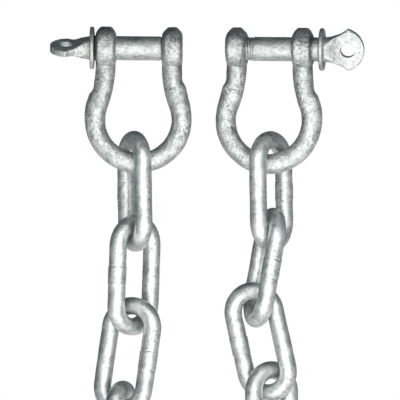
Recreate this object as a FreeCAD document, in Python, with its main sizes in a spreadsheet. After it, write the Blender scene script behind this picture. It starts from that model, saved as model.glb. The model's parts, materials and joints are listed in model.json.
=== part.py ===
"""Safety chain with two screw-pin bow shackles, lying in a U on a flat surface.

Axes: X runs across the two arms of the U, Y points from its turn to the shackles, Z is up.
The origin is under the middle of the whole chain, on the surface that it lies on.
"""
import FreeCAD, Part
import Sketcher
import math
import os
from FreeCAD import Placement, Rotation, Vector

# Driving dimensions, in millimetres.
SIZES = {
    "link_wire": 8.0,
    "link_length": 55.7,
    "link_width": 28.8,
    "bar_diameter": 9.3,
    "bow_radius": 19.9,
    "bow_to_pin": 33.0,
    "neck_rise": 25.0,
    "ear_diameter": 19.8,
    "ear_thickness": 9.5,
    "ear_rounding": 1.6,
    "jaw_gap": 21.0,
    "plain_bore": 11.7,
    "tapped_bore": 11.25,
    "pin_diameter": 11.1,
    "pin_tip_chamfer": 0.8,
    "collar_diameter": 19.6,
    "collar_thickness": 2.3,
    "collar_seat_gap": 0.3,
    "neck_length": 7.3,
    "eye_thickness": 3.4,
    "eye_width": 19.6,
    "eye_neck_width": 11.0,
    "eye_centre": 10.9,
    "eye_length": 18.4,
    "eye_hole": 6.8,
}

# Where each taut link meets the next, on the ground, from the left shackle round to the slack links.
MEETING_POINTS = [
    (-30.0, 23.0), (-29.2, -16.1), (-30.2, -54.2), (-35.8, -92.1), (-39.0, -130.8), (-46.0, -168.6),
    (-55.0, -206.0), (-62.0, -244.0), (-64.0, -282.5), (-51.0, -318.5), (-19.0, -338.5), (18.5, -337.0),
    (48.0, -311.5), (60.5, -275.0), (59.0, -236.1), (51.5, -198.0), (42.5, -160.0), (33.5, -121.7),
    (33.2, -83.5),
]
# How far each link leans out of flat, in degrees; a positive lean lifts its right-hand limb.
LEANS = [-67, 43, -22, 70, -30, 55, -40, 45, -62, 20, -75, 12, -72, 20, -82, -3, 72, -37, 22, 74, -54]
# Links with room at both crowns: the centre, then the heading off +Y and the pitch in degrees.
SLACK_LINKS = {
    18: (33.3, -102.7, 13.4, 0.0, -3.0),
    19: (28.2, -65.9, 12.9, 12.5, -1.0),
    20: (30.0, -31.7, 14.0, -9.8, -1.8),
    21: (33.1, 3.1, 12.4, 1.0, 0.7),
}

# How each shackle lies. heading: degrees off +Y. lean: sideways lean, right ear up. play: room between
# its bar and the wire of its end link. slip: how far its bar has slid across that wire. eye_turn: turn
# of the eye out of flat. unscrewed: travel of the pin out of the tapped ear. eye_side: +1 towards +X.
SHACKLES = {
    "left": {
        "heading": -0.5, "lean": 0.0, "play": 2.2, "slip": 2.0,
        "eye_turn": -65.0, "unscrewed": 0.0, "eye_side": -1,
    },
    "right": {
        "heading": -1.0, "lean": 8.0, "play": 2.5, "slip": -0.9,
        "eye_turn": -17.0, "unscrewed": 2.5, "eye_side": 1,
    },
}


def make_sheet(doc):
    """The spreadsheet that holds the driving dimensions, one aliased cell each."""
    sheet = doc.addObject("Spreadsheet::Sheet", "Sizes")
    for row, (alias, value) in enumerate(SIZES.items(), start=1):
        sheet.set(f"A{row}", alias)
        sheet.set(f"B{row}", str(value))
        sheet.setAlias(f"B{row}", alias)
    doc.recompute()


def bind(obj, **formulas):
    """Bind properties of an object to formulas on the sheet; a double underscore stands for a dot."""
    for name, formula in formulas.items():
        obj.setExpression(name.replace("__", "."), formula)


def primitive(doc, kind, name, turn=None, **formulas):
    """A Part primitive with bound sizes, turned by (axis, degrees)."""
    obj = doc.addObject(f"Part::{kind}", name)
    if turn:
        obj.Placement = Placement(Vector(), Rotation(turn[0], turn[1]))
    bind(obj, **formulas)
    return obj


# ---- links -----------------------------------------------------------------------------------------

def make_link(doc, name):
    """A welded long link about its own centre: width along X, length along Y."""
    half_width = "(Sizes.link_width - Sizes.link_wire) / 2"
    straight = "(Sizes.link_length - Sizes.link_width)"
    members = []
    for tag, side in (("a", "-1"), ("b", "1")):
        members.append(primitive(
            doc, "Cylinder", f"{name}_limb_{tag}", (Vector(1, 0, 0), -90),
            Radius="Sizes.link_wire / 2",
            Height=straight,
            Placement__Base__x=f"{side} * {half_width}",
            Placement__Base__y=f"-{straight} / 2",
        ))
        members.append(primitive(
            doc, "Torus", f"{name}_crown_{tag}", (Vector(0, 0, 1), 180 if side == "-1" else 0),
            Radius1=half_width,
            Radius2="Sizes.link_wire / 2",
            Angle3="180",
            Placement__Base__y=f"{side} * {straight} / 2",
        ))
    link = doc.addObject("Part::MultiFuse", name)
    link.Shapes = members
    return link


def link_half_height(lean):
    """Height of a leaning link's centre above the surface that it touches."""
    half_width = (SIZES["link_width"] - SIZES["link_wire"]) / 2
    return half_width * abs(math.sin(math.radians(lean))) + SIZES["link_wire"] / 2


def width_direction(along, lean):
    """The direction from limb to limb of a link that lies along a direction and leans."""
    right = along.cross(Vector(0, 0, 1)).normalize()
    above = right.cross(along)
    tilt = math.radians(lean)
    return right * math.cos(tilt) + above * math.sin(tilt)


def contact_normal(width_before, width_after, along):
    """Where two crowns touch, the line between their wires is square to both wires."""
    normal = width_before.cross(width_after).normalize()
    return normal if normal.dot(along) > 0 else normal * -1


def taut_link_ends():
    """The wire centres at both crowns of each taut link, and of the slack link after them.

    Two crowns stand off from their meeting point along their contact normal. The point is as high
    as its two links need, so that the lowest limbs rest on the surface.
    """
    ground = [Vector(x, y, 0) for x, y in MEETING_POINTS]
    spans = [end - start for start, end in zip(ground, ground[1:])]
    alongs = [Vector(span).normalize() for span in spans]
    widths = [width_direction(along, lean) for along, lean in zip(alongs, LEANS)]
    heights = [link_half_height(lean) for lean in LEANS[:len(spans)]]
    reach = SIZES["link_length"] - SIZES["link_wire"]
    starts = [Vector(0, 0, heights[0]) + ground[0] - alongs[0] * ((reach - spans[0].Length) / 2)]
    ends = []
    for i in range(len(spans) - 1):
        normal = contact_normal(widths[i], widths[i + 1], alongs[i] + alongs[i + 1])
        offset = normal * ((reach - (spans[i].Length + spans[i + 1].Length) / 2) / 2)
        level = max(heights[i] - offset.z, heights[i + 1] + offset.z)
        meeting = ground[i + 1] + Vector(0, 0, level)
        ends.append(meeting + offset)
        starts.append(meeting - offset)
    ends.append(Vector(0, 0, heights[-1]) + ground[-1] + alongs[-1] * ((reach - spans[-1].Length) / 2))
    return list(zip(starts, ends))


def link_placement(centre, along, lean):
    """The placement of a link from its centre, its direction and its lean."""
    width = width_direction(along, lean)
    return Placement(centre, Rotation(width, along, width.cross(along), "ZXY"))


def link_placements():
    """The placements of all links, from the left shackle to the right one."""
    placements = []
    for (start, end), lean in zip(taut_link_ends()[:-1], LEANS):
        placements.append(link_placement((start + end) * 0.5, (end - start).normalize(), lean))
    for number, (x, y, z, heading, pitch) in SLACK_LINKS.items():
        turn = Rotation(Vector(0, 0, 1), heading).multiply(Rotation(Vector(1, 0, 0), pitch))
        along = turn.multVec(Vector(0, 1, 0))
        placements.append(link_placement(Vector(x, y, z), along, LEANS[number - 1]))
    return placements


# ---- shackle bows ----------------------------------------------------------------------------------

def make_ear(doc, name, side):
    """One ear of a bow: a disc across the pin, its rims rounded."""
    disc = primitive(
        doc, "Cylinder", f"{name}_disc", (Vector(0, 1, 0), 90),
        Radius="Sizes.ear_diameter / 2",
        Height="Sizes.ear_thickness",
        Placement__Base__x=f"{side} * (Sizes.jaw_gap + Sizes.ear_thickness) / 2 - Sizes.ear_thickness / 2",
        Placement__Base__y="Sizes.bow_to_pin",
    )
    ear = doc.addObject("Part::Fillet", name)
    ear.Base = disc
    ear.Edges = [(edge, SIZES["ear_rounding"], SIZES["ear_rounding"]) for edge in (1, 3)]
    return ear


def neck_angle():
    """Angle above the bow's middle at which its round part turns into the neck, in degrees."""
    ear_offset = (SIZES["jaw_gap"] + SIZES["ear_thickness"]) / 2
    return 2 * math.degrees(math.atan2(SIZES["bow_radius"] - ear_offset, SIZES["neck_rise"]))


def make_bow(doc, name):
    """A forged bow about the middle of its round part: pin along X, bow bottom towards -Y."""
    step = "(Sizes.bow_radius - (Sizes.jaw_gap + Sizes.ear_thickness) / 2)"
    sheet_angle = f"(2 * atan({step} / Sizes.neck_rise))"
    reach = f"(Sizes.neck_rise / sin({sheet_angle}))"
    members = [primitive(
        doc, "Torus", f"{name}_round", (Vector(0, 0, 1), -180 - neck_angle()),
        Radius1="Sizes.bow_radius",
        Radius2="Sizes.bar_diameter / 2",
        Angle3=f"180 deg + 2 * {sheet_angle}",
    )]
    for tag, side in (("left", -1), ("right", 1)):
        members.append(primitive(
            doc, "Torus", f"{name}_neck_{tag}",
            (Vector(0, 0, 1), 180 if side > 0 else -neck_angle()),
            Radius1=f"{reach} - Sizes.bow_radius",
            Radius2="Sizes.bar_diameter / 2",
            Angle3=sheet_angle,
            Placement__Base__x=f"{side} * {reach} * cos({sheet_angle})",
            Placement__Base__y=f"{reach} * sin({sheet_angle})",
        ))
        members.append(primitive(
            doc, "Cylinder", f"{name}_shank_{tag}", (Vector(1, 0, 0), -90),
            Radius="Sizes.bar_diameter / 2",
            Height="Sizes.bow_to_pin - Sizes.neck_rise",
            Placement__Base__x=f"{side} * (Sizes.jaw_gap + Sizes.ear_thickness) / 2",
            Placement__Base__y="Sizes.neck_rise",
        ))
        members.append(make_ear(doc, f"{name}_ear_{tag}", side))
    forging = doc.addObject("Part::MultiFuse", f"{name}_forging")
    forging.Shapes = members
    bores = doc.addObject("Part::MultiFuse", f"{name}_bores")
    bores.Shapes = [
        primitive(
            doc, "Cylinder", f"{name}_bore_{tag}", (Vector(0, 1, 0), 90 * side),
            Radius=f"Sizes.{size} / 2",
            Height="Sizes.jaw_gap / 2 + 2 * Sizes.ear_thickness",
            Placement__Base__y="Sizes.bow_to_pin",
        )
        for tag, side, size in (("plain", -1, "plain_bore"), ("tapped", 1, "tapped_bore"))
    ]
    bow = doc.addObject("Part::Cut", name)
    bow.Base = forging
    bow.Tool = bores
    return bow


def end_apex(side):
    """Centre of the wire at the crown that a shackle hangs on."""
    reach = (SIZES["link_length"] - SIZES["link_wire"]) / 2
    if side == "left":
        return link_placements()[0].multVec(Vector(0, -reach, 0))
    return link_placements()[-1].multVec(Vector(0, reach, 0))


def shackle_placement(side):
    """Placement of a bow: its bar passes through its end link, and its lower ear rests on the surface."""
    pose = SHACKLES[side]
    apex = end_apex(side)
    ear_offset = (SIZES["jaw_gap"] + SIZES["ear_thickness"]) / 2
    pin_height = SIZES["ear_diameter"] / 2 + ear_offset * math.sin(math.radians(pose["lean"]))
    length = SIZES["bow_radius"] + SIZES["bow_to_pin"]
    pitch = math.degrees(math.asin((pin_height - apex.z) / length))
    turn = Rotation(Vector(0, 0, 1), pose["heading"])
    turn = turn.multiply(Rotation(Vector(1, 0, 0), pitch))
    turn = turn.multiply(Rotation(Vector(0, 1, 0), -pose["lean"]))
    along = turn.multVec(Vector(0, 1, 0))
    across = turn.multVec(Vector(1, 0, 0))
    drop = (SIZES["bar_diameter"] + SIZES["link_wire"]) / 2 + pose["play"]
    bar = apex - along * drop + across * pose["slip"]
    if pose["eye_side"] > 0:
        turn = turn.multiply(Rotation(Vector(0, 1, 0), 180))
    return Placement(bar + along * SIZES["bow_radius"], turn)


# ---- eye pins --------------------------------------------------------------------------------------

def flat_sketch(body, name):
    """An empty sketch on a body's XY plane."""
    sketch = body.newObject("Sketcher::SketchObject", name)
    plane = next(item for item in body.Origin.OriginFeatures if item.Role == "XY_Plane")
    sketch.AttachmentSupport = [(plane, "")]
    sketch.MapMode = "FlatFace"
    return sketch


def corner_end(sketch, side, place):
    """Which end of a side, 1 or 2, lies at a place."""
    return 1 if sketch.getPoint(side, 1).distanceToPoint(place) < 1e-6 else 2


def outline_sketch(body, name, corners, bulge=None):
    """A closed outline on a body's XY plane. Each corner is a pair of formulas on the sheet.

    bulge, where given, is (side, middle corner, radius formula) of the one side that is an arc.
    """
    sketch = flat_sketch(body, name)
    places = [Vector(sketch.evalExpression(x), sketch.evalExpression(y), 0) for x, y in corners]
    count = len(places)
    for side in range(count):
        start, end = places[side], places[(side + 1) % count]
        if bulge and side == bulge[0]:
            middle = Vector(sketch.evalExpression(bulge[1][0]), sketch.evalExpression(bulge[1][1]), 0)
            sketch.addGeometry(Part.Arc(start, middle, end), False)
        else:
            sketch.addGeometry(Part.LineSegment(start, end), False)
    starts = [corner_end(sketch, side, places[side]) for side in range(count)]
    for side in range(count):
        after = (side + 1) % count
        finish = corner_end(sketch, side, places[after])
        sketch.addConstraint(Sketcher.Constraint("Coincident", side, finish, after, starts[after]))
    for side, (formulas, place) in enumerate(zip(corners, places)):
        for kind, formula, size, axis in (("DistanceX", formulas[0], place.x, -2),
                                          ("DistanceY", formulas[1], place.y, -1)):
            if size == 0:
                sketch.addConstraint(Sketcher.Constraint("PointOnObject", side, starts[side], axis))
                continue
            distance = Sketcher.Constraint(kind, -1, 1, side, starts[side], size)
            index = sketch.addConstraint(distance)
            sketch.setExpression(f"Constraints[{index}]", formula)
    if bulge:
        radius = Sketcher.Constraint("Radius", bulge[0], sketch.evalExpression(bulge[2]))
        index = sketch.addConstraint(radius)
        sketch.setExpression(f"Constraints[{index}]", bulge[2])
    return sketch


def hole_sketch(body, name, centre):
    """The circle of the eye's hole, on the pin's axis."""
    sketch = flat_sketch(body, name)
    place = sketch.evalExpression(centre)
    size = sketch.evalExpression("Sizes.eye_hole")
    sketch.addGeometry(Part.Circle(Vector(place, 0, 0), Vector(0, 0, 1), size / 2), False)
    sketch.addConstraint(Sketcher.Constraint("PointOnObject", 0, 3, -1))
    index = sketch.addConstraint(Sketcher.Constraint("DistanceX", -1, 1, 0, 3, place))
    sketch.setExpression(f"Constraints[{index}]", centre)
    index = sketch.addConstraint(Sketcher.Constraint("Diameter", 0, size))
    sketch.setExpression(f"Constraints[{index}]", "Sizes.eye_hole")
    return sketch


def make_pin(doc, name):
    """A screw pin about its collar's seat: shank towards +X, flat eye towards -X."""
    body = doc.addObject("PartDesign::Body", name)
    back = "-Sizes.collar_thickness"
    neck_end = "-(Sizes.collar_thickness + Sizes.neck_length)"
    tip = "(Sizes.jaw_gap + 2 * Sizes.ear_thickness + Sizes.collar_seat_gap)"
    turned = body.newObject("PartDesign::Revolution", f"{name}_turned")
    turned.Profile = outline_sketch(body, f"{name}_profile", [
        (neck_end, "0"),
        (neck_end, "Sizes.eye_thickness / 2"),
        (back, "Sizes.pin_diameter / 2"),
        (back, "Sizes.collar_diameter / 2"),
        ("0", "Sizes.collar_diameter / 2"),
        ("0", "Sizes.pin_diameter / 2"),
        (f"{tip} - Sizes.pin_tip_chamfer", "Sizes.pin_diameter / 2"),
        (tip, "Sizes.pin_diameter / 2 - Sizes.pin_tip_chamfer"),
        (tip, "0"),
    ])
    turned.ReferenceAxis = (turned.Profile[0], ["H_Axis"])
    turned.Angle = 360
    widest = "-(Sizes.collar_thickness + Sizes.eye_centre)"
    far = "-(Sizes.collar_thickness + Sizes.eye_length)"
    depth = "(Sizes.eye_length - Sizes.eye_centre)"
    flat = body.newObject("PartDesign::Pad", f"{name}_flat")
    flat.Profile = outline_sketch(body, f"{name}_eye_outline", [
        (back, "-Sizes.eye_neck_width / 2"),
        (back, "Sizes.eye_neck_width / 2"),
        (widest, "Sizes.eye_width / 2"),
        (widest, "-Sizes.eye_width / 2"),
    ], (2, (far, "0"), f"(Sizes.eye_width ^ 2 / 4 + {depth} ^ 2) / (2 * {depth})"))
    flat.Midplane = True
    bind(flat, Length="Sizes.eye_thickness")
    doc.recompute()
    solid = flat.Shape.Volume
    hole = body.newObject("PartDesign::Pocket", f"{name}_hole")
    hole.Profile = hole_sketch(body, f"{name}_hole_circle", widest)
    hole.Midplane = True
    hole.Type = "ThroughAll"
    doc.recompute()
    if hole.Shape.Volume > solid - 1:
        raise RuntimeError(f"{name}: the eye has no hole")
    return body


def pin_placement(side):
    """Placement of an eye pin in its bow."""
    pose = SHACKLES[side]
    seat = SIZES["jaw_gap"] / 2 + SIZES["ear_thickness"] + SIZES["collar_seat_gap"] + pose["unscrewed"]
    in_bow = Placement(Vector(-seat, SIZES["bow_to_pin"], 0), Rotation(Vector(1, 0, 0), pose["eye_turn"]))
    return shackle_placement(side).multiply(in_bow)


# ---- the whole chain -------------------------------------------------------------------------------

def node_placements():
    """Placements of all sub-parts by name, before the origin is moved under the chain's middle."""
    places = {f"link_{i:02d}": place for i, place in enumerate(link_placements(), start=1)}
    for side in SHACKLES:
        places[f"{side}_shackle_bow"] = shackle_placement(side)
        places[f"{side}_eye_pin"] = pin_placement(side)
    return places


def origin_shift(parts):
    """The move that puts the origin under the middle of the whole chain."""
    box = FreeCAD.BoundBox()
    for part in parts.values():
        box.add(part.Shape.optimalBoundingBox(False))
    return Vector(-box.Center.x, -box.Center.y, -box.ZMin)


def build():
    """The whole document; gives back its sub-parts by name."""
    doc = FreeCAD.newDocument("safety_chain")
    make_sheet(doc)
    parts = {}
    for name, place in node_placements().items():
        if name.startswith("link"):
            part = make_link(doc, name)
        elif name.endswith("bow"):
            part = make_bow(doc, name)
        else:
            part = make_pin(doc, name)
        part.Label = name
        part.Placement = place
        parts[name] = part
    doc.recompute()
    shift = origin_shift(parts)
    for part in parts.values():
        part.Placement = Placement(shift, Rotation()).multiply(part.Placement)
    doc.recompute()
    return doc, parts


def check(doc, parts):
    """Stop if any object failed or any sub-part isn't one valid solid."""
    for obj in doc.Objects:
        if "Invalid" in obj.State or "Error" in obj.State:
            raise RuntimeError(f"{obj.Name} failed: {obj.State}")
    for name, part in parts.items():
        shape = part.Shape
        if shape.isNull() or not shape.isValid() or len(shape.Solids) != 1:
            raise RuntimeError(f"{name} isn't one valid solid")


def write(parts):
    """One STEP file for each sub-part."""
    os.makedirs("parts", exist_ok=True)
    for name, part in parts.items():
        part.Shape.exportStep(f"parts/{name}.step")


document, nodes = build()
check(document, nodes)
write(nodes)
for node_name, node in nodes.items():
    print(f"{node_name}: {node.Shape.Volume:.0f} mm3")
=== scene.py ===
"""Looks of the galvanised safety chain: links, shackle bows and eye pins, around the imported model."""
import json
import math

import bpy
import numpy as np
from mathutils import Matrix, Vector, noise


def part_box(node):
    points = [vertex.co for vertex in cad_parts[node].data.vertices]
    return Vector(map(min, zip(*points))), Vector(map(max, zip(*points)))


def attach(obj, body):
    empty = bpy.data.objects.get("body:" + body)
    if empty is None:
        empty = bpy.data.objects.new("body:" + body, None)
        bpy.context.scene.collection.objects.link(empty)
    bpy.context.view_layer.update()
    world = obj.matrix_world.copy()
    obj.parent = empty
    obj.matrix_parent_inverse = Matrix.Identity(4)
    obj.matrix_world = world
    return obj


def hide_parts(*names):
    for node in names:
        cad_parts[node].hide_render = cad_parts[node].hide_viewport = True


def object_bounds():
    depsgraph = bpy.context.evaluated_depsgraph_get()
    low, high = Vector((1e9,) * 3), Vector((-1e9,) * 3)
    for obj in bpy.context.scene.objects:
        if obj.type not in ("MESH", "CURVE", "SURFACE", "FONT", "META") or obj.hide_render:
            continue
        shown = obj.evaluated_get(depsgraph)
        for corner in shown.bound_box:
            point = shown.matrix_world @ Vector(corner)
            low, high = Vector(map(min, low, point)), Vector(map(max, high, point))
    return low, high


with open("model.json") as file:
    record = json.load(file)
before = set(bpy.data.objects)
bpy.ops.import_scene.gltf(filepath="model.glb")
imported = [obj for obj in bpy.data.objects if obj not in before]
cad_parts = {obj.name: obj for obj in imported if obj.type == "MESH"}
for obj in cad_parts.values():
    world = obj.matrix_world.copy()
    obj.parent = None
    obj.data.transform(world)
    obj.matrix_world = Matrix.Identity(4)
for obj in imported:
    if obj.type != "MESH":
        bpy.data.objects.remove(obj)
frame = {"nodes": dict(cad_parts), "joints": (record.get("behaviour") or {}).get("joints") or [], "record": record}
CAD_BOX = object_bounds()
RECORD = frame["record"]
BODY_OF = {node: body for body, nodes in RECORD["behaviour"]["bodies"].items() for node in nodes}
SLOT_OF = {item["node"]: item["material_slot"] for item in RECORD["subparts"]}

MM = 0.001

# Sizes of the links, in millimetres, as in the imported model.
WIRE_RADIUS = 4.0
CROWN_RADIUS = 10.4
LIMB_LENGTH = 26.9

# A link's weld: its reach from the middle of its limb, how far it stands out, and the depth and width of
# the broken seams at its two ends.
WELD_REACH = 4.4
WELD_RISE = 0.18
SEAM_DEPTH = 0.50
SEAM_WIDTH = 0.35

# Links whose weld is on the upper limb; on the others it is on the lower one.
WELD_ABOVE = {2, 3, 4, 7, 8, 11, 13, 16, 18, 20}

# Sizes of the shackle bows, in millimetres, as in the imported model.
BAR_RADIUS = 4.65
BOW_RADIUS = 19.9
BOW_TO_PIN = 33.0
NECK_RISE = 25.0
EAR_RADIUS = 9.9
EAR_THICKNESS = 9.5
JAW_GAP = 21.0
PLAIN_BORE_RADIUS = 5.85
TAPPED_BORE_RADIUS = 5.62

# The forging's own shapes, by side (-1 is the plain ear's, 1 the tapped ear's): the height of the shoulder
# on the outside of a limb, and the half widths of the flat and of the slope round an ear.
SHOULDER_HEIGHT = {-1: 11.4, 1: 15.8}
SHOULDER_RISE = 0.75
SHOULDER_DIP = 0.3
EAR_FLAT = {-1: 2.3, 1: 1.9}
EAR_SLOPE = {-1: 3.6, 1: 3.3}
EAR_OVAL = 1.2

# Sizes of the eye pins, in millimetres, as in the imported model.
PIN_RADIUS = 5.55
PIN_LENGTH = 40.3
COLLAR_RADIUS = 9.8
COLLAR_THICKNESS = 2.3
EYE_CENTRE = 10.9
EYE_LENGTH = 18.4
EYE_HALF_WIDTH = 9.8
EYE_HALF_THICKNESS = 1.7
EYE_HOLE_RADIUS = 3.4

# The collar's face, which stands a little off the ear, its rounded rim, and the neck behind it.
COLLAR_SEAT = -0.3
COLLAR_RIM = 0.45
NECK_RADIUS = 5.6
WAIST_RADIUS = 7.0
NECK_HALF_THICKNESS = 5.5
NECK_ROOT = 1.0

# The thread on the shank's tip.
THREAD_START = 29.9
THREAD_PITCH = 1.3
THREAD_DEPTH = 0.65
THREAD_RUN_OUT = 0.8
TIP_CHAMFER = 0.9


# ---- meshes ----------------------------------------------------------------------------------------

def mesh_from_rings(name, rings, looped):
    """A closed skin through rings of equally many points; its ends are joined or capped."""
    count = len(rings[0])
    points = [point for ring in rings for point in ring]
    spans = len(rings) if looped else len(rings) - 1
    faces = []
    for i in range(spans):
        here, there = i * count, (i + 1) % len(rings) * count
        for j in range(count):
            after = (j + 1) % count
            faces.append((here + j, here + after, there + after, there + j))
    if not looped:
        faces.append(tuple(reversed(range(count))))
        faces.append(tuple(range((len(rings) - 1) * count, len(rings) * count)))
    mesh = bpy.data.meshes.new(name)
    mesh.from_pydata([tuple(point) for point in points], [], faces)
    mesh.update()
    return mesh


def apply_modifiers(obj):
    """Put an object's modifiers into its mesh."""
    graph = bpy.context.evaluated_depsgraph_get()
    mesh = bpy.data.meshes.new_from_object(obj.evaluated_get(graph))
    old = obj.data
    obj.modifiers.clear()
    obj.data = mesh
    bpy.data.meshes.remove(old)


def join_meshes(name, meshes):
    """One object that holds several closed meshes."""
    points, faces = [], []
    for mesh in meshes:
        start = len(points)
        points += [tuple(vertex.co) for vertex in mesh.vertices]
        faces += [tuple(start + index for index in polygon.vertices) for polygon in mesh.polygons]
        bpy.data.meshes.remove(mesh)
    joined = bpy.data.meshes.new(name)
    joined.from_pydata(points, [], faces)
    joined.update()
    obj = bpy.data.objects.new(name, joined)
    bpy.context.scene.collection.objects.link(obj)
    return obj


def fuse(obj, voxel, smoothing):
    """Melt an object's closed meshes into one skin with softened edges."""
    remesh = obj.modifiers.new("fuse", "REMESH")
    remesh.mode = "VOXEL"
    remesh.voxel_size = voxel
    soften = obj.modifiers.new("soften", "SMOOTH")
    soften.factor = 0.5
    soften.iterations = smoothing
    apply_modifiers(obj)


def bore(obj, radius, start, end, sides=64):
    """Cut a round hole through an object from one point to another."""
    axis = (end - start).normalized()
    side = axis.orthogonal().normalized()
    other = axis.cross(side)
    rings = []
    for centre in (start, end):
        angles = [2 * math.pi * i / sides for i in range(sides)]
        rings.append([centre + (side * math.cos(a) + other * math.sin(a)) * radius for a in angles])
    cutter = bpy.data.objects.new("cutter", mesh_from_rings("cutter", rings, False))
    bpy.context.scene.collection.objects.link(cutter)
    cut = obj.modifiers.new("bore", "BOOLEAN")
    cut.operation = "DIFFERENCE"
    cut.solver = "EXACT"
    cut.object = cutter
    apply_modifiers(obj)
    bpy.data.meshes.remove(cutter.data)


def roughen(mesh, seed, waves, keep=None):
    """Move the points of a mesh, in millimetres, along its normals by layers of (height, size) noise."""
    mesh.update()
    offset = Vector((seed * 17.3, seed * 5.1, seed * 9.7))
    count = len(mesh.vertices)
    places = np.empty(count * 3)
    normals = np.empty(count * 3)
    mesh.vertices.foreach_get("co", places)
    mesh.vertex_normals.foreach_get("vector", normals)
    places, normals = places.reshape(-1, 3), normals.reshape(-1, 3)
    heights = np.zeros(count)
    for height, size in waves:
        heights += height * np.array([noise.noise(Vector(place) / size + offset) for place in places])
    if keep is not None:
        heights *= np.array([keep(place) for place in places])
    mesh.vertices.foreach_set("co", (places + normals * heights[:, None]).ravel())
    mesh.update()


def smooth_shaded(mesh):
    """Shade a mesh smoothly."""
    mesh.polygons.foreach_set("use_smooth", [True] * len(mesh.polygons))
    mesh.update()


def smoothstep(low, high, value):
    """0 below low, 1 above high, and a smooth rise between them."""
    t = min(max((value - low) / (high - low), 0.0), 1.0)
    return t * t * (3 - 2 * t)


def even_steps(start, end, step):
    """Evenly spaced values from start up to end, which is left out."""
    return list(np.linspace(start, end, round((end - start) / step), endpoint=False))


def ring_directions(outward, count):
    """Directions round a bar's axis: (angle from outward, direction)."""
    angles = even_steps(0, 2 * math.pi, 2 * math.pi / count)
    return [(a, outward * math.cos(a) + Vector((0, 0, 1)) * math.sin(a)) for a in angles]


# ---- links -----------------------------------------------------------------------------------------

def link_centreline(step):
    """Stations round a link: (centre, outward direction, side of its limb, distance from its middle)."""
    half = LIMB_LENGTH / 2
    near_weld = WELD_REACH + 1.5
    lines = even_steps(-half, -near_weld, step)
    lines += even_steps(-near_weld, near_weld, step / 3)
    lines += even_steps(near_weld, half, step)
    stations = []
    for side in (1, -1):
        for along in lines:
            centre = Vector((side * CROWN_RADIUS, side * along, 0))
            stations.append((centre, Vector((side, 0, 0)), side, along))
        for angle in even_steps(0, math.pi, step / CROWN_RADIUS):
            outward = Vector((math.cos(angle), math.sin(angle), 0)) * side
            centre = outward * CROWN_RADIUS + Vector((0, side * half, 0))
            stations.append((centre, outward, 0, 0.0))
    return stations


def weld_relief(along, direction, seed):
    """How far the wire stands out near its weld: an upset band between two broken seams."""
    place = Vector((seed * 3.7, 0, 0))
    wander = 0.5 * noise.noise(direction * 1.1 + place * 2)
    edge = abs(along + wander) - WELD_REACH
    band = WELD_RISE * (1 - smoothstep(-0.5, 0.5, edge))
    depth = max(2.0 * noise.noise(direction * 1.3 + place * math.copysign(1, along)), 0.0)
    return band - SEAM_DEPTH * depth * math.exp(-(edge / SEAM_WIDTH) ** 2)


def make_link(name, number, weld_side):
    """A link of round wire with a weld in the middle of one limb."""
    rings = []
    for centre, outward, side, along in link_centreline(step=0.6):
        ring = []
        for _, direction in ring_directions(outward, 36):
            relief = weld_relief(along, direction, number) if side == weld_side else 0.0
            ring.append(centre + direction * (WIRE_RADIUS + relief))
        rings.append(ring)
    mesh = mesh_from_rings(name, rings, True)
    roughen(mesh, number, ((0.13, 8.0), (0.05, 2.6)))
    return mesh


# ---- shackle bows ----------------------------------------------------------------------------------

def bow_centreline(step):
    """Stations along the bar from the plain ear to the tapped one: (centre, outward direction)."""
    ear_offset = (JAW_GAP + EAR_THICKNESS) / 2
    neck = 2 * math.atan2(BOW_RADIUS - ear_offset, NECK_RISE)
    reach = NECK_RISE / math.sin(neck)
    neck_radius = reach - BOW_RADIUS
    neck_centre = Vector((reach * math.cos(neck), NECK_RISE, 0))
    top = BOW_TO_PIN - PIN_RADIUS - 1.6
    bottom = -math.pi / 2
    half = [(Vector((ear_offset, y, 0)), Vector((1, 0, 0))) for y in even_steps(top, NECK_RISE, -step)]
    for angle in even_steps(0, neck, step / neck_radius):
        outward = Vector((math.cos(angle), math.sin(angle), 0))
        half.append((neck_centre - outward * neck_radius, outward))
    for angle in even_steps(neck, bottom, -step / BOW_RADIUS) + [bottom]:
        outward = Vector((math.cos(angle), math.sin(angle), 0))
        half.append((outward * BOW_RADIUS, outward))
    mirrored = [(Vector((-c.x, c.y, 0)), Vector((-o.x, o.y, 0))) for c, o in half[:-1]]
    return mirrored + half[::-1]


def shoulder_relief(centre):
    """How far the outside of a limb stands out: a long swell that ends in a step, and a dip above it."""
    edge = SHOULDER_HEIGHT[-1 if centre.x < 0 else 1]
    dip = SHOULDER_DIP * math.exp(-((centre.y - edge - 2.5) / 2.0) ** 2)
    if abs(centre.x) < BAR_RADIUS:
        return -dip
    step = 1 - smoothstep(edge - 1.6, edge + 1.0, centre.y)
    swell = smoothstep(edge - 15, edge - 2, centre.y)
    return SHOULDER_RISE * step * swell - dip


def make_bar(name):
    """The bent bar of a bow, with a forged shoulder on the outside of each limb."""
    rings = []
    for centre, outward in bow_centreline(step=0.5):
        relief = shoulder_relief(centre)
        ring = []
        for angle, direction in ring_directions(outward, 40):
            outside = max(0.0, math.cos(angle)) ** 1.5
            ring.append(centre + direction * (BAR_RADIUS + relief * outside))
        rings.append(ring)
    return mesh_from_rings(name, rings, False)


def lathe(name, profile, around, turn=None):
    """A closed solid turned about X from a profile of (x, radius); turn may change the radius by angle."""
    rings = []
    for x, radius in profile:
        ring = []
        for k in range(around):
            angle = 2 * math.pi * k / around
            r = turn(x, radius, angle) if turn else radius
            ring.append(Vector((x, r * math.cos(angle), r * math.sin(angle))))
        rings.append(ring)
    return mesh_from_rings(name, rings, False)


def drafted(x, radius, angle):
    """The radius of an ear's edges: its slope is deep at the ear's top and shallow on its sides."""
    if radius < 1 or radius >= EAR_RADIUS:
        return radius
    return radius + EAR_OVAL * math.sin(angle) ** 2


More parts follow.
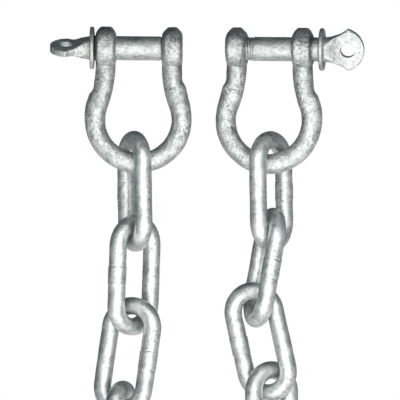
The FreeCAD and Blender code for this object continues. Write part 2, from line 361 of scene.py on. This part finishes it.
def make_ear(name, side):
    """One ear: a forged boss whose rim slopes to a narrow flat, as forging draft leaves it."""
    half = EAR_THICKNESS / 2
    rim = [(half, 0.3), (half, 6.4), (half - 0.35, 7.3)]
    rim += [(EAR_SLOPE[side], 8.6), (EAR_FLAT[side], EAR_RADIUS)]
    profile = [(-x, radius) for x, radius in rim] + rim[::-1]
    mesh = lathe(name, profile, 72, drafted)
    offset = Vector((side * (JAW_GAP + EAR_THICKNESS) / 2, BOW_TO_PIN, 0))
    mesh.transform(Matrix.Translation(offset))
    return mesh


def make_bow():
    """A forged bow in its own frame, in millimetres: pin along X, plain ear at -X, bottom at -Y."""
    obj = join_meshes("bow", [make_bar("bar"), make_ear("ear_plain", -1), make_ear("ear_tapped", 1)])
    fuse(obj, voxel=0.4, smoothing=4)
    middle = Vector((0, BOW_TO_PIN, 0))
    beyond = Vector((30, 0, 0))
    bore(obj, PLAIN_BORE_RADIUS, middle, middle - beyond)
    bore(obj, TAPPED_BORE_RADIUS, middle, middle + beyond)
    return obj


def away_from_bore(place):
    """0 inside a bow's bores and 1 away from them."""
    distance = math.hypot(place[1] - BOW_TO_PIN, place[2])
    return smoothstep(PLAIN_BORE_RADIUS + 0.2, PLAIN_BORE_RADIUS + 1.2, distance)


# ---- eye pins --------------------------------------------------------------------------------------

def threaded(x, radius, angle):
    """The radius of the pin's shank, with a helical groove in its tip."""
    if x < THREAD_START or radius < PIN_RADIUS / 2:
        return radius
    fade = smoothstep(THREAD_START, THREAD_START + THREAD_RUN_OUT, x)
    wave = 0.5 - 0.5 * math.cos(2 * math.pi * x / THREAD_PITCH - angle)
    return radius - THREAD_DEPTH * fade * wave


def make_shank():
    """The turned half of a pin: collar and shank."""
    back = -COLLAR_THICKNESS
    rounded = COLLAR_RADIUS - COLLAR_RIM
    profile = [(back, 0.3), (back, rounded), (back + COLLAR_RIM, COLLAR_RADIUS)]
    profile += [(COLLAR_SEAT - COLLAR_RIM, COLLAR_RADIUS), (COLLAR_SEAT, rounded)]
    profile += [(COLLAR_SEAT, PIN_RADIUS + 0.3), (0.3, PIN_RADIUS)]
    fine_from = math.floor(THREAD_START)
    tip = PIN_LENGTH - TIP_CHAMFER
    places = even_steps(1, fine_from, 1) + even_steps(fine_from, tip, 0.16) + [tip]
    profile += [(x, PIN_RADIUS) for x in places]
    profile += [(PIN_LENGTH, PIN_RADIUS - 0.8), (PIN_LENGTH, 0.3)]
    return lathe("shank", profile, 96, threaded)


def eye_width(distance):
    """Half width of the neck and the flat eye at a distance behind the collar."""
    if distance <= EYE_CENTRE:
        t = distance / EYE_CENTRE
        waist = NECK_RADIUS + (WAIST_RADIUS - NECK_RADIUS) * t
        return waist + (EYE_HALF_WIDTH - WAIST_RADIUS) * t ** 3.2
    depth = EYE_LENGTH - EYE_CENTRE
    radius = (EYE_HALF_WIDTH ** 2 + depth ** 2) / (2 * depth)
    middle = EYE_LENGTH - radius
    return math.sqrt(max(radius ** 2 - (distance - middle) ** 2, 0.0))


def eye_thickness(distance):
    """Half thickness of the neck and the flat eye at a distance behind the collar."""
    fall = smoothstep(-1.5, 9.0, distance)
    return NECK_HALF_THICKNESS + (EYE_HALF_THICKNESS - NECK_HALF_THICKNESS) * fall


def make_eye():
    """The forged half of a pin: a round neck pressed into a flat eye."""
    step = 0.25
    corner = 14
    rings = []
    distances = [-NECK_ROOT + step * i for i in range(round((EYE_LENGTH + NECK_ROOT) / step))]
    distances += [EYE_LENGTH - 0.12, EYE_LENGTH - 0.03]
    for distance in distances:
        width = eye_width(max(distance, 0.0))
        thickness = eye_thickness(distance)
        roundness = NECK_RADIUS + 14 * smoothstep(2.0, 10.0, distance)
        ring = []
        for angle in even_steps(0, 2 * math.pi, 2 * math.pi / 96):
            c, s = math.cos(angle), math.sin(angle)
            oval = 1 / math.sqrt((c / width) ** 2 + (s / roundness) ** 2)
            slab = thickness / max(abs(s), 1e-6)
            radius = (oval ** -corner + slab ** -corner) ** (-1 / corner)
            ring.append(Vector((-COLLAR_THICKNESS - distance, radius * c, radius * s)))
        rings.append(ring)
    return mesh_from_rings("eye", rings[::-1], False)


def make_pin():
    """A screw pin in its own frame, in millimetres: shank towards +X, flat eye towards -X in XY."""
    obj = join_meshes("pin", [make_shank(), make_eye()])
    fuse(obj, voxel=0.26, smoothing=2)
    bore_middle = Vector((-COLLAR_THICKNESS - EYE_CENTRE, 0, 0))
    beyond = Vector((0, 0, 4))
    bore(obj, EYE_HOLE_RADIUS, bore_middle - beyond, bore_middle + beyond)
    return obj


# ---- places of the pieces --------------------------------------------------------------------------

def axes_matrix(x_axis, y_axis, z_axis, origin):
    """The transform from a piece's own frame, in millimetres, to the model's, in metres."""
    turn = Matrix((x_axis, y_axis, z_axis)).transposed().to_4x4()
    return Matrix.Translation(origin) @ turn @ Matrix.Scale(MM, 4)


def link_matrix(node):
    """Where a link lies: its long axis towards +Y and its limb axis upwards."""
    mesh = frame["nodes"][node].data
    places = np.empty(len(mesh.polygons) * 3)
    areas = np.empty(len(mesh.polygons))
    mesh.polygons.foreach_get("center", places)
    mesh.polygons.foreach_get("area", areas)
    low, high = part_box(node)
    centre = (low + high) / 2
    offsets = places.reshape(-1, 3) - np.array(centre)
    spread = (offsets * areas[:, None]).T @ offsets
    directions = np.linalg.eigh(spread)[1].T
    long_axis, limb_axis = Vector(directions[2]), Vector(directions[1])
    if long_axis.y < 0:
        long_axis.negate()
    if limb_axis.z < 0:
        limb_axis.negate()
    return axes_matrix(limb_axis, long_axis, limb_axis.cross(long_axis), centre)


def joint_axis(name):
    """The axis of a joint of the model."""
    joint = next(item for item in frame["joints"] if item["name"] == name)
    return Vector(joint["axis"]).normalized()


def mount(name):
    """The place and axis of a mount of the model."""
    item = next(item for item in RECORD["mounts"] if item["name"] == name)
    return Vector(item["pos_m"]), Vector(item["axis"]).normalized()


def bow_matrix(side):
    """Where a bow lies."""
    pin_middle = mount(f"{side}_shackle_jaw")[0]
    low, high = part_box(f"{side}_shackle_bow")
    x_axis = -joint_axis(f"{side}_pin_unscrew")
    z_axis = joint_axis(f"{side}_shackle_bow_swing")
    y_axis = z_axis.cross(x_axis).normalized()
    if y_axis.dot(pin_middle - (low + high) / 2) < 0:
        y_axis.negate()
    z_axis = x_axis.cross(y_axis)
    return axes_matrix(x_axis, y_axis, z_axis, pin_middle - y_axis * BOW_TO_PIN * MM)


def pin_matrix(side):
    """Where an eye pin lies."""
    hole, z_axis = mount(f"{side}_eye_hole")
    x_axis = -joint_axis(f"{side}_pin_unscrew")
    y_axis = z_axis.cross(x_axis).normalized()
    origin = hole + x_axis * (COLLAR_THICKNESS + EYE_CENTRE) * MM
    return axes_matrix(x_axis, y_axis, x_axis.cross(y_axis), origin)


# ---- materials -------------------------------------------------------------------------------------

def node_of(tree, kind, **values):
    """A new shader node; values set its properties, or its inputs where they have that name."""
    node = tree.nodes.new(kind)
    for name, value in values.items():
        label = name.replace("_", " ")
        if label in node.inputs:
            node.inputs[label].default_value = value
        else:
            setattr(node, name, value)
    return node


def ramp_of(tree, stops):
    """A colour ramp through (position, grey or colour) stops."""
    node = tree.nodes.new("ShaderNodeValToRGB")
    elements = node.color_ramp.elements
    while len(elements) < len(stops):
        elements.new(0.5)
    for element, (position, shade) in zip(elements, stops):
        element.position = position
        element.color = (*shade, 1) if isinstance(shade, tuple) else (shade, shade, shade, 1)
    return node


def shade_of(tree, value, stops):
    """The shade that a ramp gives for a value."""
    ramp = ramp_of(tree, stops)
    tree.links.new(value, ramp.inputs["Fac"])
    return ramp.outputs["Color"]


def blend(tree, mode, first, second, amount=None):
    """Blend two colours, fully or by an amount."""
    mix = node_of(tree, "ShaderNodeMix", data_type="RGBA", blend_type=mode, Factor=1.0)
    if amount:
        tree.links.new(amount, mix.inputs["Factor"])
    tree.links.new(first, mix.inputs[6])
    tree.links.new(second, mix.inputs[7])
    return mix.outputs[2]


def painted_ear_top_shade(tree, places, ear_top_shade):
    """Painted shade that darkens the shackles' ears towards their tops, the side turned away from the light, down
    to the given factor.
    """
    position = tree.nodes.new("ShaderNodeSeparateXYZ")
    tree.links.new(places, position.inputs[0])
    height = node_of(tree, "ShaderNodeMapRange", From_Min=EAR_FOOT_Y, From_Max=EAR_TOP_Y)
    tree.links.new(position.outputs["Y"], height.inputs["Value"])
    return shade_of(tree, height.outputs["Result"], ((0.0, 1.0), (0.6, (1 + ear_top_shade) / 2), (1.0, ear_top_shade)))


def bumped(tree, value, depth, strength, under=None):
    """A normal bumped by a value, over another normal."""
    bump = node_of(tree, "ShaderNodeBump", Strength=strength, Distance=depth)
    tree.links.new(value, bump.inputs["Height"])
    if under:
        tree.links.new(under, bump.inputs["Normal"])
    return bump.outputs["Normal"]


def zinc(name, tones, mottle, specks, stains, roughness, bump, ear_top_shade):
    """Galvanised steel: mottled, stained zinc with dark specks, cloudy gloss, a finely uneven skin and painted
    shade towards the tops of the ears.
    """
    material = bpy.data.materials.new(name)
    material.use_nodes = True
    tree = material.node_tree
    surface = tree.nodes["Principled BSDF"]
    surface.inputs["Metallic"].default_value = 0.92
    places = tree.nodes.new("ShaderNodeTexCoord").outputs["Object"]
    clouds = node_of(tree, "ShaderNodeTexNoise", Scale=190.0, Detail=5.0, Roughness=0.62)
    flakes = node_of(tree, "ShaderNodeTexVoronoi", Scale=700.0)
    grains = node_of(tree, "ShaderNodeTexNoise", Scale=850.0, Detail=4.0, Roughness=0.7, Distortion=0.5)
    patches = node_of(tree, "ShaderNodeTexNoise", Scale=75.0, Detail=3.0, Roughness=0.6)
    for texture in (clouds, flakes, grains, patches):
        tree.links.new(places, texture.inputs["Vector"])
    cloud, grain, patch = (texture.outputs["Fac"] for texture in (clouds, grains, patches))

    colour = shade_of(tree, cloud, tones)
    spangle = shade_of(tree, flakes.outputs["Color"], ((0.0, mottle), (1.0, 1.0)))
    colour = blend(tree, "MULTIPLY", colour, spangle)
    spread = shade_of(tree, patch, ((0.42, 0.1), (0.62, 1.0)))
    colour = blend(tree, "MULTIPLY", colour, shade_of(tree, grain, specks), spread)
    colour = blend(tree, "MULTIPLY", colour, shade_of(tree, patch, stains))
    # Painted shade: the ears' colour darkens towards their tops, which face away from the light.
    colour = blend(tree, "MULTIPLY", colour, painted_ear_top_shade(tree, places, ear_top_shade))
    tree.links.new(colour, surface.inputs["Base Color"])
    gloss = shade_of(tree, cloud, ((0.3, roughness[0]), (0.7, roughness[1])))
    tree.links.new(gloss, surface.inputs["Roughness"])
    skin = bumped(tree, grain, 0.0003, bump)
    tree.links.new(bumped(tree, cloud, 0.0008, bump, skin), surface.inputs["Normal"])
    return material


# The foot and the top of the shackles' ears, along Y in metres, over which the painted shade darkens them.
EAR_FOOT_Y = 0.186
EAR_TOP_Y = 0.213

MATERIALS = {
    "zinc_links": zinc(
        "zinc_of_links",
        tones=((0.3, (0.52, 0.535, 0.525)), (0.7, (0.84, 0.86, 0.845))),
        mottle=0.86,
        specks=((0.36, 0.45), (0.48, 1.0)),
        stains=((0.34, 0.80), (0.46, 1.0)),
        roughness=(0.20, 0.42),
        bump=0.45,
        ear_top_shade=1.0,
    ),
    "zinc_bows": zinc(
        "zinc_of_bows",
        tones=((0.3, (0.50, 0.52, 0.51)), (0.7, (0.88, 0.90, 0.885))),
        mottle=0.68,
        specks=((0.38, 0.25), (0.50, 1.0)),
        stains=((0.34, 0.78), (0.46, 1.0)),
        roughness=(0.26, 0.48),
        bump=1.0,
        # Painted shade at the very top of the ears, as a factor on their colour.
        ear_top_shade=0.62,
    ),
    "zinc_pins": zinc(
        "zinc_of_pins",
        tones=((0.3, (0.40, 0.415, 0.405)), (0.7, (0.70, 0.72, 0.705))),
        mottle=0.78,
        specks=((0.36, 0.45), (0.48, 1.0)),
        stains=((0.36, 0.74), (0.50, 1.0)),
        roughness=(0.26, 0.46),
        bump=0.7,
        ear_top_shade=1.0,
    ),
}


# ---- the pieces ------------------------------------------------------------------------------------

def place(node, mesh, matrix, name):
    """Show a mesh in place of a node of the model."""
    mesh.transform(matrix)
    smooth_shaded(mesh)
    mesh.materials.clear()
    mesh.materials.append(MATERIALS[SLOT_OF[node]])
    piece = bpy.data.objects.new(name, mesh)
    bpy.context.scene.collection.objects.link(piece)
    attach(piece, BODY_OF[node])
    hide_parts(node)


link_nodes = sorted(node for node in frame["nodes"] if node.startswith("link_"))
for number, node in enumerate(link_nodes, start=1):
    weld_side = 1 if number in WELD_ABOVE else -1
    place(node, make_link(node, number, weld_side), link_matrix(node), f"{node}_welded_wire")

bow = make_bow()
pin = make_pin()
for seed, side in enumerate(("left", "right"), start=31):
    forging = bow.data.copy()
    roughen(forging, seed, ((0.16, 9.0), (0.10, 3.0), (0.05, 1.1)), away_from_bore)
    place(f"{side}_shackle_bow", forging, bow_matrix(side), f"{side}_bow_forging")
    screw = pin.data.copy()
    roughen(screw, seed + 10, ((0.05, 5.0), (0.04, 1.6)))
    place(f"{side}_eye_pin", screw, pin_matrix(side), f"{side}_eye_pin_forging")
for pattern in (bow, pin):
    bpy.data.meshes.remove(pattern.data)


# ---- floor and light -------------------------------------------------------------------------------

# Low enough that it hides no link at the far end of its swing, in metres.
FLOOR_DROP = 0.35
FLOOR_REACH = 20

# Light by direction: for each axis, stops from its negative end (0) to its positive end (1).
SKY = {
    "X": ((0.0, 0.0), (0.5, 0.0), (1.0, 0.14)),
    "Y": ((0.0, 0.98), (0.3, (0.56, 0.59, 0.59)), (0.5, (0.15, 0.19, 0.19)), (0.75, (0.08, 0.11, 0.11)),
          (1.0, (0.05, 0.08, 0.08))),
    "Z": ((0.0, 0.0), (0.54, 0.02), (0.62, 0.14), (0.72, 0.36), (0.85, 0.58), (1.0, 0.62)),
}


def add_to_scene(name, data):
    """A new object of the scene that shows some data."""
    obj = bpy.data.objects.new(name, data)
    bpy.context.scene.collection.objects.link(obj)
    return obj


def white_glow():
    """A plain white material that doesn't depend on the light."""
    material = bpy.data.materials.new("pale_floor")
    material.use_nodes = True
    tree = material.node_tree
    tree.nodes.clear()
    glow = node_of(tree, "ShaderNodeEmission", Color=(1, 1, 1, 1), Strength=1.0)
    out = tree.nodes.new("ShaderNodeOutputMaterial")
    tree.links.new(glow.outputs[0], out.inputs["Surface"])
    return material


def make_floor():
    """A wide flat floor that casts nothing onto the chain."""
    mesh = bpy.data.meshes.new("floor")
    corners = [(x * FLOOR_REACH, y * FLOOR_REACH, 0) for x, y in ((-1, -1), (1, -1), (1, 1), (-1, 1))]
    mesh.from_pydata(corners, [], [(0, 1, 2, 3)])
    mesh.materials.append(white_glow())
    floor = add_to_scene("floor", mesh)
    floor.location.z = CAD_BOX[0].z - FLOOR_DROP
    floor.visible_glossy = False
    floor.visible_diffuse = False
    return floor


def make_studio():
    """Soft light that depends on its direction, in a room that looks white."""
    world = bpy.data.worlds.new("studio")
    bpy.context.scene.world = world
    world.use_nodes = True
    tree = world.node_tree
    tree.nodes.clear()
    direction = tree.nodes.new("ShaderNodeTexCoord")
    parts = tree.nodes.new("ShaderNodeSeparateXYZ")
    tree.links.new(direction.outputs["Generated"], parts.inputs[0])
    levels = []
    for axis, stops in SKY.items():
        span = node_of(tree, "ShaderNodeMapRange", From_Min=-1)
        tree.links.new(parts.outputs[axis], span.inputs["Value"])
        levels.append(shade_of(tree, span.outputs["Result"], stops))
    total = blend(tree, "ADD", blend(tree, "ADD", levels[0], levels[1]), levels[2])
    seen = tree.nodes.new("ShaderNodeLightPath")
    room = node_of(tree, "ShaderNodeMix", data_type="RGBA")
    tree.links.new(seen.outputs["Is Camera Ray"], room.inputs["Factor"])
    tree.links.new(total, room.inputs[6])
    room.inputs[7].default_value = (1, 1, 1, 1)
    background = node_of(tree, "ShaderNodeBackground", Strength=1.0)
    tree.links.new(room.outputs[2], background.inputs["Color"])
    out = tree.nodes.new("ShaderNodeOutputWorld")
    tree.links.new(background.outputs[0], out.inputs["Surface"])


make_floor()
make_studio()


# ---- camera and key light --------------------------------------------------------------------------

# The camera looks straight down at the two shackles and the ends of the chain, in metres.
VIEW_WIDTH = 0.184
VIEW_SHIFT = -0.0032
VIEW_DROP = 0.0799
FOCUS_HEIGHT = 0.012

ears_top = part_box("left_shackle_bow")[1].y
left_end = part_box("left_eye_pin")[0].x
right_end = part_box("right_eye_pin")[1].x
centre = Vector(((left_end + right_end) / 2 + VIEW_SHIFT, ears_top - VIEW_DROP, 0))

camera_data = bpy.data.cameras.new("camera")
camera_data.lens = 300
camera_data.sensor_width = 36
camera_data.clip_end = 100
distance = VIEW_WIDTH * camera_data.lens / camera_data.sensor_width
camera = add_to_scene("camera", camera_data)
camera.location = centre + Vector((0, 0, FOCUS_HEIGHT + distance))
bpy.context.scene.camera = camera
bpy.context.scene.view_settings.view_transform = "Standard"

key_data = bpy.data.lights.new("key", "AREA")
key_data.shape = "RECTANGLE"
key_data.size = 0.28
key_data.size_y = 0.48
key_data.energy = 0.53
key = add_to_scene("key", key_data)
key.location = centre + Vector((0.03, -0.08, 0.22))
